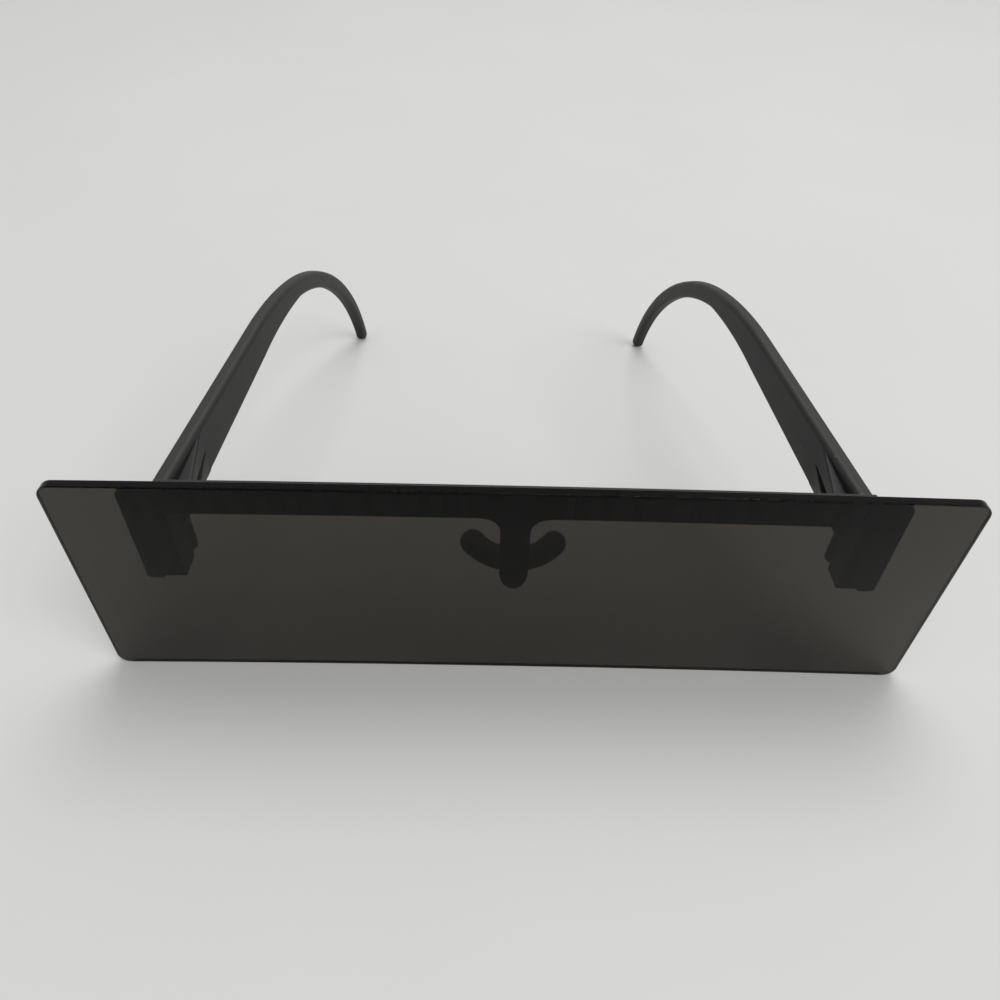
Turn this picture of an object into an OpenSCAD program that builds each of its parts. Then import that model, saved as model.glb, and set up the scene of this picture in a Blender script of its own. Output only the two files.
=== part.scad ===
// One-panel novelty sunglasses: a wide tinted panel bonded to a slim moulded
// frame, with a nose post, a soft nose rest and two folding temples.
// The origin is the middle of the panel's bottom edge, on the table.
// +X is to the right as the front is seen, +Y runs back along the temples.

/* [Panel] */
// Width of the tinted panel
lens_w = 165; // [150:1:180]
// Height of the tinted panel
lens_h = 50; // [46:1:60]
// Thickness of the tinted panel
lens_t = 2; // [1.5:0.1:3]
// Radius of the panel's corners
lens_corner = 2.6; // [1:0.1:8]
// How far the panel's middle stands behind its two ends
lens_bow = 0.65; // [0.3:0.05:3]

/* [Bond] */
// Thickness of the adhesive film between panel and frame
bond_t = 0.15; // [0.1:0.05:0.4]
// How far the film stays inside the frame's outline
bond_inset = 0.7; // [0.4:0.1:1.5]

/* [Frame] */
// Width of the frame across its two end blocks
frame_w = 139.8; // [130:0.2:146]
// Thickness of the brow bar
bar_t = 2.1; // [1.6:0.1:4]
// Height of the brow bar
bar_h = 6.1; // [4:0.1:8]
// How far the bar's top stays below the panel's top
bar_drop = 1.1; // [0.4:0.1:2]
// Size of the step along the bar's top rear edge
bar_step = 0.6; // [0.3:0.1:1]
// Width of each end block
block_w = 7.6; // [6.6:0.1:9]
// Depth of each end block behind the panel, where it carries the hinge
block_t = 5; // [4:0.1:7]
// Thickness of the plate that the end block thins to near the panel's top
plate_t = 1.5; // [1.2:0.1:2.4]
// How far the plate's top stays below the bar's top
plate_drop = 0.5; // [0:0.1:1]
// Height of the outer lip's bottom above the table
block_bottom = 25.7; // [22:0.1:28]
// Width of the lip along the outer side of each end block
lip_w = 3.2; // [2.6:0.1:4]
// How far the lip reaches below the rest of the block
lip_h = 0.7; // [0.2:0.1:1]
// Radius of the end block's outer bottom corner
block_corner = 1.8; // [0.5:0.1:2.4]
// Radius of the end block's outer top corner
plate_corner = 1.6; // [0.5:0.1:2.4]
// Slope height of the shoulder above the end block
shoulder_h = 3.2; // [1:0.1:4]

/* [Nose] */
// Width of the nose post
post_w = 5.5; // [4:0.1:8]
// Thickness of the nose post
post_t = 2.8; // [2.2:0.1:4]
// Height of the post's round end above the table
post_bottom = 23.9; // [20:0.1:26]
// Height of the post's round end itself
post_end = 4.2; // [2:0.1:8]
// Radius of the fillets between post and bar
post_fillet = 3.6; // [1:0.1:4.5]
// Diameter of the nose rest's round rod
rest_d = 4.8; // [3.6:0.1:6]
// Diameter of the lobes at the ends of the rod
lobe_d = 5; // [4.8:0.1:6]
// Radius of the nose rest's bend, along the middle of its rod
rest_r = 9.5; // [7:0.5:14]
// Angle that the nose rest's bend turns through
rest_turn = 114; // [80:2:140]
// Height of the nose rest's rod above the table
rest_z = 28.8; // [28:0.1:32]
// How far the rod sinks into its saddle at the post
rest_seat = 1.7; // [1:0.1:2]
// Radius of the peg that holds the nose rest
peg_r = 0.9; // [0.6:0.1:1.1]
// Length of the peg behind the post
peg_l = 1.6; // [1:0.1:2]
// Clearance of the nose rest on its post and peg
rest_gap = 0.05; // [0.02:0.01:0.1]

/* [Hinge] */
// Radius of the hinge knuckles
knuckle_r = 1.9; // [1.6:0.1:2.4]
// Height of the lowest knuckle's bottom above the table
hinge_bottom = 27; // [25:0.1:30]
// Height of the temple's bottom knuckle
low_ear_h = 6.1; // [4:0.1:7]
// Height of each of the frame's two lugs
lug_h = 2; // [1.8:0.1:3]
// Height of the temple's thin middle knuckle
mid_ear_h = 1.3; // [0.7:0.1:2]
// Height of the temple's top knuckle
top_ear_h = 1.5; // [1.4:0.1:3]
// Gap between neighbouring knuckles
knuckle_gap = 0.1; // [0.05:0.01:0.2]
// Gap between a knuckle and what it turns past
turn_gap = 0.3; // [0.2:0.05:0.5]
// Gap at the stop between the opened temple and its end block
stop_gap = 0.05; // [0.03:0.01:0.1]
// Radius of the screw's shank
screw_r = 0.7; // [0.5:0.05:0.9]
// Radius of the screw's head
screw_head_r = 1.25; // [1:0.05:1.4]
// Height of the screw's head
screw_head_h = 0.7; // [0.4:0.1:1]
// Width of the slot in the screw's head
screw_slot = 0.3; // [0.2:0.05:0.5]
// Radial clearance of the screw in its holes
screw_gap = 0.05; // [0.02:0.01:0.1]

/* [Temples] */
// Thickness of the temples
temple_t = 3.1; // [2.4:0.1:4]
// Distance from the hinge axis out to the temples' inner faces
plate_in = 2.1; // [1:0.1:2.4]
// Angle that the opened left temple turns inwards
toe_left = 9.1; // [5:0.1:13]
// Angle that the opened right temple turns inwards
toe_right = 11.6; // [5:0.1:13]
// Distance from the hinge to where the bend over the ear begins
straight_l = 49.7; // [44:0.1:56]
// Height of the temple's middle where the bend begins
bend_z = 41.8; // [39:0.1:44]
// Angle at which the temple's middle line enters the bend
rise = 13; // [9:0.5:16]
// Radius of the bend over the ear, along the temple's middle
ear_r = 61.5; // [54:0.5:66]
// Height of the bend over the ear where it begins, without the two fillings below
crown_h = 5.5; // [4.5:0.1:7]
// How far the straight part's top edge stands out over that
top_fill = 1.3; // [0:0.1:2]
// How far the straight part's bottom edge stands out over that
belly = 1.8; // [0:0.1:2.4]
// Share of the bend over which both fillings fade out
fade_share = 0.3; // [0.15:0.05:0.5]
// Height of the temple at its round tip
tip_h = 3.1; // [2.6:0.1:5]
// Length of the hinge boss's ramp along the temple
ramp_l = 17; // [12:0.5:24]
// Length of the short web that joins the lower knuckles to the temple
web_l = 5; // [3.5:0.5:8]
// Length of the top knuckle's own web
top_web_l = 3; // [2:0.5:5]
// How far the boss leans back to the temple's bottom edge
boss_lean = 17; // [5:1:25]
// How far the boss's rib stands above the middle knuckle
rib_step = 1; // [0:0.1:2]
// Slope of the rib's top edge, rising away from the hinge
rib_slope = 14.5; // [5:0.5:20]
// Length of the lower slot's level stretch
slot_l = 6.3; // [4:0.1:10]
// Height of the lower groove's far end above the hinge's bottom
groove_rise = 9.4; // [8:0.1:10]
// How far the groove's upper side steps up beyond the lug
groove_step = 0.8; // [0:0.1:1.5]
// Height of the narrow end of the lower groove
groove_end_h = 0.5; // [0.2:0.1:2]

/* [Hidden] */

lens_back = lens_t / 2;
frame_front = lens_back + bond_t;
bar_back = frame_front + bar_t;
post_back = frame_front + post_t;
block_back = frame_front + block_t;

frame_top = lens_h - bar_drop;
bar_bottom = frame_top - bar_h;
block_out = frame_w / 2;
block_in = block_out - block_w;
inner_bottom = block_bottom + lip_h;
plate_top = frame_top - plate_drop;

// The hinge axis is one knuckle radius inside the block's inner face
hinge_x = block_in + knuckle_r;
hinge_y = block_back + turn_gap + knuckle_r;

// Heights of the knuckles, from the bottom up
lug_1 = hinge_bottom + low_ear_h + knuckle_gap;
mid_ear = lug_1 + lug_h + knuckle_gap;
lug_2 = mid_ear + mid_ear_h + knuckle_gap;
top_ear = lug_2 + lug_h + knuckle_gap;
hinge_top = top_ear + top_ear_h;
slot_h = lug_h + 2 * knuckle_gap;
root_h = hinge_top - hinge_bottom;

// Room that a turning knuckle needs round the hinge axis
turn_r = knuckle_r + turn_gap;
// How far a lug's web reaches from the hinge axis, at the corners on its block
web_r = norm([knuckle_r, turn_r]);
lug_room = web_r + turn_gap;
plate_back = bent(hinge_x, frame_front + plate_t);

// The temple's middle line goes straight to here, then in one bend down to the table
bend_start = [straight_l, bend_z];
bend_centre = bend_start + ear_r * [sin(rise), -cos(rise)];
// The bottom edge runs straight from the hinge to the bend, at its own slope
bottom_end = bend_start - (crown_h / 2 + belly) * [-sin(rise), cos(rise)];
bottom_slope = atan((bottom_end[1] - hinge_bottom) / bottom_end[0]);
tip_turn = acos((tip_h / 2 - bend_centre[1]) / ear_r);
bend_steps = 40;
bow_steps = 16;
post_steps = 20;
tip_steps = 10;

rest_front = post_back - rest_seat;
rest_y = rest_front + rest_d / 2;
rest_centre_y = rest_y + rest_r;

bond_bar_l = 2 * (block_in - bond_inset);
cut = 1;
reach = 200;

// The height of the temple at a given turn of the bend, from the rise to the tip
function bend_share(turn) = (turn + rise) / (tip_turn + rise);
function bend_h(turn) = crown_h + (tip_h - crown_h) * bend_share(turn);
// How much of the fillings is left there
function filling(turn) = max(0, 1 - bend_share(turn) / fade_share);
// How far the top and bottom edges are from the middle line
function top_out(turn) = bend_h(turn) / 2 + top_fill * filling(turn) * filling(turn);
function bottom_out(turn) = bend_h(turn) / 2 + belly * filling(turn) * (2 - filling(turn));
// A point of the bend, a given distance outside its middle line
function bend_point(turn, out) = bend_centre + (ear_r + out) * [sin(turn), cos(turn)];
function bend_turn(step) = -rise + (tip_turn + rise) * step / bend_steps;
tip_centre = bend_point(tip_turn, 0);

module rounded_rectangle(w, h, r) {
    translate([-w / 2, r]) square([w, h - 2 * r]);
    translate([-w / 2 + r, 0]) square([w - 2 * r, h]);
    for (x = [-1, 1], y = [r, h - r]) {
        translate([x * (w / 2 - r), y]) circle(r = r, $fn = 48);
    }
}

// How far back a face bent like the panel lies at x, if it lies at y in the middle
function bent(x, y) = y - lens_bow * pow(2 * x / lens_w, 2);

// The body in front of such a bent face, which cuts all that is bonded to the panel
module bend_body(y) {
    half = lens_w / 2 + cut;
    face = [for (i = [-bow_steps:bow_steps]) [half * i / bow_steps, bent(half * i / bow_steps, y)]];
    translate([0, 0, -cut]) linear_extrude(reach) polygon(concat(face, [[half, -reach], [-half, -reach]]));
}

// An outline drawn as seen from the front, from the given bent back face forwards
module bent_back(back) {
    intersection() {
        bend_body(back);
        translate([0, reach / 4, 0]) rotate([90, 0, 0]) linear_extrude(reach / 2) children();
    }
}

// The same, cut off at a bent front face
module bowed(front, back) {
    difference() {
        bent_back(back) children();
        bend_body(front);
    }
}

module lens_outline() {
    rounded_rectangle(lens_w, lens_h, lens_corner);
}

// The bar with its fillets, and a step along its top rear edge
module brow_bar() {
    bent_back(bar_back) {
        translate([-block_in - cut, bar_bottom]) square([2 * (block_in + cut), bar_h - bar_step]);
        post_fillets();
    }
    bent_back(bar_back - bar_step)
        translate([-block_in - cut, bar_bottom]) square([2 * (block_in + cut), bar_h]);
}

// The right end block from the front: the lip reaches lower, with round corners
module end_outline() {
    low = [block_out - block_corner, block_bottom + block_corner];
    high = [block_out - plate_corner, plate_top - plate_corner];
    translate([block_in, inner_bottom]) square([block_w - lip_w, plate_top - inner_bottom]);
    translate([block_out - lip_w, block_bottom]) square([lip_w - block_corner, plate_top - block_bottom]);
    translate([block_out - lip_w, low[1]]) square([lip_w - plate_corner, plate_top - low[1]]);
    translate([block_out - lip_w, low[1]]) square([lip_w, high[1] - low[1]]);
    translate(low) circle(r = block_corner, $fn = 48);
    translate(high) circle(r = plate_corner, $fn = 48);
}

// The post from the front, with a long round end
module post_outline() {
    middle = post_bottom + post_end;
    end = [for (i = [0:post_steps]) [post_w / 2 * cos(180 * i / post_steps), middle - post_end * sin(180 * i / post_steps)]];
    polygon(concat(end, [[-post_w / 2, bar_bottom + cut], [post_w / 2, bar_bottom + cut]]));
}

module post_fillets() {
    for (side = [0, 1]) {
        mirror([side, 0]) difference() {
            translate([post_w / 2 - cut, bar_bottom - post_fillet]) square([post_fillet + cut, post_fillet + cut]);
            translate([post_w / 2 + post_fillet, bar_bottom - post_fillet]) circle(r = post_fillet, $fn = 48);
        }
    }
}

// The right end block: deep where it carries the lugs, and a plain plate above
module end_block() {
    side = [
        [0, block_bottom - cut],
        [block_back, block_bottom - cut],
        [block_back, hinge_top],
        [plate_back, hinge_top + shoulder_h],
        [plate_back, frame_top + cut],
        [0, frame_top + cut]
    ];
    intersection() {
        translate([block_in, 0, 0]) rotate([90, 0, 90]) linear_extrude(block_w) polygon(side);
        translate([0, block_back + cut, 0]) rotate([90, 0, 0])
            linear_extrude(block_back + 2 * cut) end_outline();
    }
}

// One lug: a knuckle round the screw and the web that joins it to the block
module lug(z) {
    translate([hinge_x, hinge_y, z]) cylinder(r = knuckle_r, h = lug_h, $fn = 48);
    translate([hinge_x - knuckle_r, block_back - cut, z])
        cube([2 * knuckle_r, hinge_y - block_back + cut, lug_h]);
}

module frame_end() {
    difference() {
        union() {
            end_block();
            for (z = [lug_1, lug_2]) lug(z);
        }
        translate([hinge_x, hinge_y, hinge_bottom - cut])
            cylinder(r = screw_r + screw_gap, h = root_h + 2 * cut, $fn = 32);
    }
}

module brow_frame() {
    color([0.05, 0.05, 0.05]) difference() {
        union() {
            brow_bar();
            bent_back(post_back) post_outline();
            frame_end();
            mirror([1, 0, 0]) frame_end();
            translate([0, frame_front, rest_z]) rotate([-90, 0, 0])
                cylinder(r = peg_r, h = post_t + peg_l, $fn = 32);
        }
        bend_body(frame_front);
    }
}

module lens_panel() {
    color([0.25, 0.23, 0.22, 0.6]) bowed(-lens_t / 2, lens_t / 2) lens_outline();
}

// A round rod bent round the nose, with a lobe at each end and a saddle for the post
module nose_rest() {
    rod_r = rest_d / 2;
    half = rest_turn / 2;
    color([0.07, 0.07, 0.07]) difference() {
        translate([0, rest_centre_y, rest_z]) {
            rotate([0, 0, -90 - half]) rotate_extrude(angle = rest_turn, $fn = 180)
                translate([rest_r, 0]) circle(r = rod_r, $fn = 48);
            for (a = [-90 - half, -90 + half]) {
                rotate([0, 0, a]) translate([rest_r, 0, 0]) rotate([0, 0, 180]) sphere(d = lobe_d, $fn = 48);
            }
        }
        translate([-post_w / 2 - rest_gap, 0, rest_z - rest_d])
            cube([post_w + 2 * rest_gap, post_back + rest_gap, 2 * rest_d]);
        translate([0, post_back - cut, rest_z]) rotate([-90, 0, 0])
            cylinder(r = peg_r + rest_gap, h = peg_l + cut + rest_gap, $fn = 32);
    }
}

// Side view of a temple: hinge end on the left, the round tip on the table
module temple_outline() {
    root_back = -2 * turn_r;
    top = [for (i = [0:bend_steps]) bend_point(bend_turn(i), top_out(bend_turn(i)))];
    bottom = [for (i = [bend_steps:-1:0]) bend_point(bend_turn(i), -bottom_out(bend_turn(i)))];
    tip = [for (i = [1:tip_steps - 1])
        tip_centre + tip_h / 2 * [sin(tip_turn + 180 * i / tip_steps), cos(tip_turn + 180 * i / tip_steps)]];
    root = [[0, hinge_bottom], [root_back, hinge_bottom], [root_back, hinge_top], [0, hinge_top]];
    polygon(concat(root, top, tip, bottom));
}

// Draws a side-view outline between two distances outwards from the hinge axis
module across(from, to) {
    translate([from, 0, 0]) rotate([90, 0, 90]) linear_extrude(to - from) children();
}

// A ramp seen from above, from the knuckle to the temple's inner face
module ramp_plan(l) {
    polygon([[-knuckle_r, 0], [0, -knuckle_r], [plate_in + cut, -knuckle_r], [plate_in + cut, l], [plate_in, l]]);
}

// All that lies outwards of a plane that leans back to the temple's bottom edge
module leaning_side() {
    translate([plate_in, 0, hinge_bottom]) rotate([bottom_slope, 0, 0]) rotate([0, -boss_lean, 0])
        translate([0, -reach / 2, -reach / 2]) cube(reach);
}

// The boss on the temple's inner side: short webs at the knuckles and one long ramp
module boss() {
    rib_low = mid_ear + mid_ear_h + rib_step;
    linear_extrude(lug_2) ramp_plan(web_l);
    translate([0, 0, lug_2]) linear_extrude(reach) ramp_plan(top_web_l);
    intersection() {
        linear_extrude(reach) ramp_plan(ramp_l);
        leaning_side();
        across(-knuckle_r, plate_in + cut) polygon([
            [lug_room, 0],
            [ramp_l, 0],
            [ramp_l, rib_low + (ramp_l - lug_room) * tan(rib_slope)],
            [lug_room, rib_low]
        ]);
    }
}

// Room for one lug as it turns; the slot behind it is drawn from the side
module lug_slot(z) {
    low = z - knuckle_gap;
    translate([0, 0, low]) cylinder(r = turn_r, h = slot_h, $fn = 48);
    translate([-2 * turn_r, -2 * turn_r, low]) cube([3 * turn_r, 2 * turn_r, slot_h]);
    across(-2 * turn_r, plate_in) translate([0, low]) children();
}

// The lower slot runs out along the ramp as a groove, the upper one ends at the rib
module lower_slot() {
    end = hinge_bottom + groove_rise - lug_1 + knuckle_gap;
    lug_slot(lug_1) polygon([
        [0, 0],
        [slot_l, 0],
        [ramp_l, end - groove_end_h / 2],
        [ramp_l, end + groove_end_h / 2],
        [slot_l, slot_h + groove_step],
        [lug_room, slot_h],
        [0, slot_h]
    ]);
}

module upper_slot() {
    lug_slot(lug_2) square([lug_room, slot_h]);
}

// A right temple, about its hinge axis, opened to the given inward angle
module temple(toe) {
    difference() {
        rotate([0, 0, toe]) difference() {
            union() {
                across(plate_in, plate_in + temple_t) temple_outline();
                intersection() {
                    across(-knuckle_r, plate_in + cut / 2) temple_outline();
                    boss();
                }
                translate([0, 0, hinge_bottom]) cylinder(r = knuckle_r, h = root_h, $fn = 48);
            }
            lower_slot();
            upper_slot();
            translate([0, 0, hinge_bottom - cut]) cylinder(r = screw_r + screw_gap, h = root_h + 2 * cut, $fn = 32);
            translate([0, 0, hinge_top - screw_head_h])
                cylinder(r = screw_head_r + screw_gap, h = screw_head_h + cut, $fn = 32);
        }
        // The opened temple's end lies square against the back of the end block
        translate([-reach / 2, -reach + block_back - hinge_y + stop_gap, 0]) cube([reach, reach, reach]);
    }
}

module hinge_screw() {
    color([0.62, 0.62, 0.64]) difference() {
        union() {
            translate([0, 0, hinge_bottom]) cylinder(r = screw_r, h = root_h - screw_head_h / 2, $fn = 32);
            translate([0, 0, hinge_top - screw_head_h]) cylinder(r = screw_head_r, h = screw_head_h, $fn = 32);
        }
        translate([-2 * screw_head_r, -screw_slot / 2, hinge_top - screw_head_h / 2])
            cube([4 * screw_head_r, screw_slot, screw_head_h]);
    }
}

module at_right_hinge() {
    translate([hinge_x, hinge_y, 0]) children();
}

module at_left_hinge() {
    mirror([1, 0, 0]) at_right_hinge() children();
}

module temple_left() {
    color([0.06, 0.06, 0.06]) at_left_hinge() temple(toe_left);
}

module temple_right() {
    color([0.06, 0.06, 0.06]) at_right_hinge() temple(toe_right);
}

module hinge_screw_left() {
    at_left_hinge() hinge_screw();
}

module hinge_screw_right() {
    at_right_hinge() hinge_screw();
}

// The film behind the panel, a little smaller than what it holds
module bond() {
    color([0.12, 0.12, 0.12]) bowed(lens_back, frame_front) children();
}

module bond_brow() {
    bond() translate([-bond_bar_l / 2, bar_bottom + bond_inset]) square([bond_bar_l, bar_h - 2 * bond_inset]);
}

module bond_pad() {
    bond() translate([block_in + bond_inset, inner_bottom + bond_inset + block_corner])
        square([block_w - 2 * bond_inset, plate_top - inner_bottom - 2 * bond_inset - block_corner]);
}

module bond_right() {
    bond_pad();
}

module bond_left() {
    mirror([1, 0, 0]) bond_pad();
}

lens_panel();
brow_frame();
nose_rest();
temple_left();
temple_right();
hinge_screw_left();
hinge_screw_right();
bond_brow();
bond_left();
bond_right();
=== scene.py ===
# %% [markdown]
# # One-panel novelty sunglasses, modelled by hand round a measured frame
#
# The real thing is a wide, flat sheet of smoke-tinted acrylic stuck to the front of
# a slim black frame. Behind it sit a nose post with a soft rest and two temples on
# screw hinges. On the table it stands on the panel's bottom edge and the two tips.
# Every size below is in millimetres, in the frame of the measured solids, so that a
# piece drawn at its numbers already sits in its place.

# %% Load the measured solids and keep them where they stand
import math

import bmesh
import bpy
from mathutils import Matrix, Vector


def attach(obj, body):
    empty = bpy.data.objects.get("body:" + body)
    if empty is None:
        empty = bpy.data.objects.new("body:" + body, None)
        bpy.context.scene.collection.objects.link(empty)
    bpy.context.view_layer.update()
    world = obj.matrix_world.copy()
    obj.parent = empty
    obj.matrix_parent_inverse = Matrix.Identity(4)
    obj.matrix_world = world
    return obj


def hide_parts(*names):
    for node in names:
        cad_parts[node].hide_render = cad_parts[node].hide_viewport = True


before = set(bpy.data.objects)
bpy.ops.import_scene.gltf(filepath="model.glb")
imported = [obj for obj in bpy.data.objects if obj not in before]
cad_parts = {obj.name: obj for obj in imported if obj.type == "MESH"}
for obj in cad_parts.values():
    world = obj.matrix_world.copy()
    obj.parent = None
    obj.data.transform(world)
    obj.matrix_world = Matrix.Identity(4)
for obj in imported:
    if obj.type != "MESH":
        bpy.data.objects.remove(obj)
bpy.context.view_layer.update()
print("measured solids:", ", ".join(sorted(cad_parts)))

# %% [markdown]
# ## A few hand tools
#
# Modelling by hand is the same few moves again and again: put down a block, pick
# some faces or edges, pull or round them. Operators act on whatever is selected, and
# the measured solids are still selected after loading. So each move starts by
# letting everything go, and then picks by place, as a hand would with the mouse.

# %% Hand tools: put down blocks and drums
MM = 0.001


def let_go():
    """Leaves edit mode and deselects everything"""
    if bpy.context.mode != "OBJECT":
        bpy.ops.object.mode_set(mode="OBJECT")
    bpy.ops.object.select_all(action="DESELECT")


def take(piece):
    """Makes one piece the only selected and active object"""
    let_go()
    piece.select_set(True)
    bpy.context.view_layer.objects.active = piece


def named(name):
    """Freezes the newest primitive's place into its mesh and names it"""
    bpy.ops.object.transform_apply(location=True, rotation=True, scale=True)
    piece = bpy.context.object
    piece.name = piece.data.name = name
    return piece


def block(name, low, high):
    """A block between two corners"""
    let_go()
    size = [(b - a) * MM for a, b in zip(low, high)]
    middle = [(a + b) / 2 * MM for a, b in zip(low, high)]
    bpy.ops.mesh.primitive_cube_add(size=1, location=middle, scale=size)
    return named(name)


def drum(name, centre, radius, height, sides=48):
    """An upright drum that stands on its centre point"""
    let_go()
    place = [centre[0] * MM, centre[1] * MM, (centre[2] + height / 2) * MM]
    bpy.ops.mesh.primitive_cylinder_add(
        vertices=sides, radius=radius * MM, depth=height * MM, location=place
    )
    return named(name)

# %% [markdown]
# Picking is done with a test on each face, edge or corner: where its middle is, and
# which way it faces or runs. Creases are picked by the angle between their faces.

# %% Hand tools: pick faces, edges and corners
def pick(piece, kind, test):
    """Selects the faces, edges or corners that pass test(middle in mm, direction)"""
    if bpy.context.mode != "EDIT_MESH" or bpy.context.object != piece:
        take(piece)
        bpy.ops.object.mode_set(mode="EDIT")
    bpy.ops.mesh.select_mode(type=kind)
    bpy.ops.mesh.select_all(action="DESELECT")
    mesh = bmesh.from_edit_mesh(piece.data)
    for part in {"FACE": mesh.faces, "EDGE": mesh.edges, "VERT": mesh.verts}[kind]:
        if kind == "FACE":
            chosen = test(part.calc_center_median() / MM, part.normal)
        elif kind == "EDGE":
            a, b = (v.co for v in part.verts)
            chosen = test((a + b) / 2 / MM, (b - a).normalized())
        else:
            chosen = test(part.co / MM, part.normal)
        part.select_set(bool(chosen))
    mesh.select_flush_mode()
    bmesh.update_edit_mesh(piece.data)


def pick_creases(piece, degrees, test=lambda middle: True):
    """Selects the edges where two faces meet at more than an angle"""
    pick(piece, "EDGE", lambda middle, way: False)
    mesh = bmesh.from_edit_mesh(piece.data)
    for edge in mesh.edges:
        if len(edge.link_faces) == 2 and edge.calc_face_angle() > math.radians(degrees):
            edge.select_set(bool(test((edge.verts[0].co + edge.verts[1].co) / 2 / MM)))
    bmesh.update_edit_mesh(piece.data)

# %% [markdown]
# Shaping works on what is picked: move it, extrude it, scale it about a point, round
# it, or cut the whole piece through by a plane.

# %% Hand tools: shape what is picked
def pull(x=0, y=0, z=0):
    """Moves what is picked"""
    bpy.ops.transform.translate(value=(x * MM, y * MM, z * MM))


def extrude(x=0, y=0, z=0):
    """Extrudes what is picked"""
    move = {"value": (x * MM, y * MM, z * MM)}
    bpy.ops.mesh.extrude_region_move(TRANSFORM_OT_translate=move)


def widen(factors, about):
    """Scales what is picked about a point"""
    bpy.ops.transform.resize(value=factors, center_override=[c * MM for c in about])


def round_off(radius, segments=2):
    """Bevels the picked edges"""
    bpy.ops.mesh.bevel(
        offset=radius * MM, segments=segments, affect="EDGES", clamp_overlap=False
    )


def slice_at(piece, point, normal, **clear):
    """Cuts a piece through by a plane"""
    pick(piece, "VERT", lambda place, way: True)
    bpy.ops.mesh.bisect(plane_co=[c * MM for c in point], plane_no=normal, **clear)

# %% [markdown]
# Pieces are joined and cut by exact booleans, which want closed shapes with no
# slivers. So both sides are welded first. The last move shades a piece. Its large
# faces keep their own direction, because a panel whose faces blend into its rounded
# rim would bend light like a lens.

# %% Hand tools: join, cut and clean
SLIVER = 0.004


def weld(piece):
    """Merges doubles and slivers and turns the faces outwards"""
    pick(piece, "VERT", lambda place, way: True)
    bpy.ops.mesh.remove_doubles(threshold=SLIVER * MM)
    bpy.ops.mesh.dissolve_degenerate(threshold=SLIVER * MM)
    bpy.ops.mesh.fill_holes(sides=5)
    bpy.ops.mesh.normals_make_consistent(inside=False)


def combine(piece, other, how):
    """Joins another piece to this one, or cuts it out, and removes the other"""
    weld(other)
    weld(piece)
    take(piece)
    step = piece.modifiers.new("combine", "BOOLEAN")
    step.operation = how
    step.solver = "EXACT"
    step.object = other
    bpy.ops.object.modifier_apply(modifier=step.name)
    bpy.data.objects.remove(other)


def clean(piece, degrees=32):
    """Welds a piece, shades it with its large faces kept flat, and prints its size"""
    weld(piece)
    take(piece)
    bpy.ops.object.shade_smooth_by_angle(angle=math.radians(degrees))
    step = piece.modifiers.new("weigh", "WEIGHTED_NORMAL")
    step.keep_sharp = True
    bpy.ops.object.modifier_apply(modifier=step.name)
    low = [round(min(v.co[i] for v in piece.data.vertices) / MM, 2) for i in range(3)]
    high = [round(max(v.co[i] for v in piece.data.vertices) / MM, 2) for i in range(3)]
    print(piece.name, len(piece.data.polygons), "faces, from", low, "to", high)

# %% [markdown]
# ## The camera of the photograph
#
# The panel's four corners and the two temple tips fix where the photograph was
# taken from: close in front, looking down by some forty degrees, with a wide lens.
# A camera can be aimed by a constraint or by angles, but the solved directions are
# written down here as they came out, because they hold a slight roll as well.

# %% Camera
RIGHT = Vector((0.9997, 0.0052, 0.0238))
DOWN = Vector((0.0210, -0.6818, -0.7312))
FORWARD = Vector((0.0124, 0.7315, -0.6818))
EYE = Vector((-4.72, -100.33, 141.22))
FOCAL_LENGTH, SENSOR_W = 28.39, 36.0

camera_data = bpy.data.cameras.new("camera")
camera_data.sensor_fit = "HORIZONTAL"
camera_data.sensor_width = SENSOR_W
camera_data.lens = FOCAL_LENGTH
camera_data.clip_start = 0.01
camera = bpy.data.objects.new("camera", camera_data)
bpy.context.scene.collection.objects.link(camera)
turn = Matrix((RIGHT, -DOWN, -FORWARD)).transposed().to_4x4()
camera.matrix_world = Matrix.Translation(EYE * MM) @ turn
bpy.context.scene.camera = camera
print("camera looks down by", round(math.degrees(math.asin(-FORWARD.z)), 1), "degrees")

# %% [markdown]
# ## Table and light
#
# The photograph was taken on a pale table under flat, soft light, with hardly a
# shadow. A bright world alone would give that, but no shape. So a dimmer world
# carries half of the light, and two large lamps add a direction: one overhead and
# behind, which the panel's top edge mirrors, and a weaker one from the front right.
# Rays that pass through the panel don't meet the lamps, which would otherwise
# sparkle in its rounded corners.

# %% Table, lamps and world
def lamp(name, place, aim, size, power):
    """A large soft lamp that looks at a point; sizes in mm, power in watts"""
    data = bpy.data.lights.new(name, "AREA")
    data.shape = "DISK"
    data.size = size * MM
    data.energy = power
    made = bpy.data.objects.new(name, data)
    bpy.context.scene.collection.objects.link(made)
    made.visible_transmission = False
    way = (Vector(aim) - Vector(place)).to_track_quat("-Z", "Y")
    made.matrix_world = Matrix.Translation(Vector(place) * MM) @ way.to_matrix().to_4x4()


lamp("lamp_above", (180, 650, 1600), (0, 50, 0), 1040, 11)
lamp("lamp_front", (840, -720, 1240), (0, 40, 0), 960, 8.2)

TABLE_SIZE = 6000
let_go()
bpy.ops.mesh.primitive_plane_add(size=TABLE_SIZE * MM, location=(0, 50 * MM, 0))
table = named("table")

PALE, ROOM_STRENGTH = (0.70, 0.705, 0.69, 1), 0.72
world = bpy.data.worlds.new("soft_room")
bpy.context.scene.world = world
world.use_nodes = True
background = world.node_tree.nodes["Background"]
background.inputs["Color"].default_value = PALE
background.inputs["Strength"].default_value = ROOM_STRENGTH
bpy.context.scene.view_settings.view_transform = "Standard"
print("table and two lamps are in place")

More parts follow.
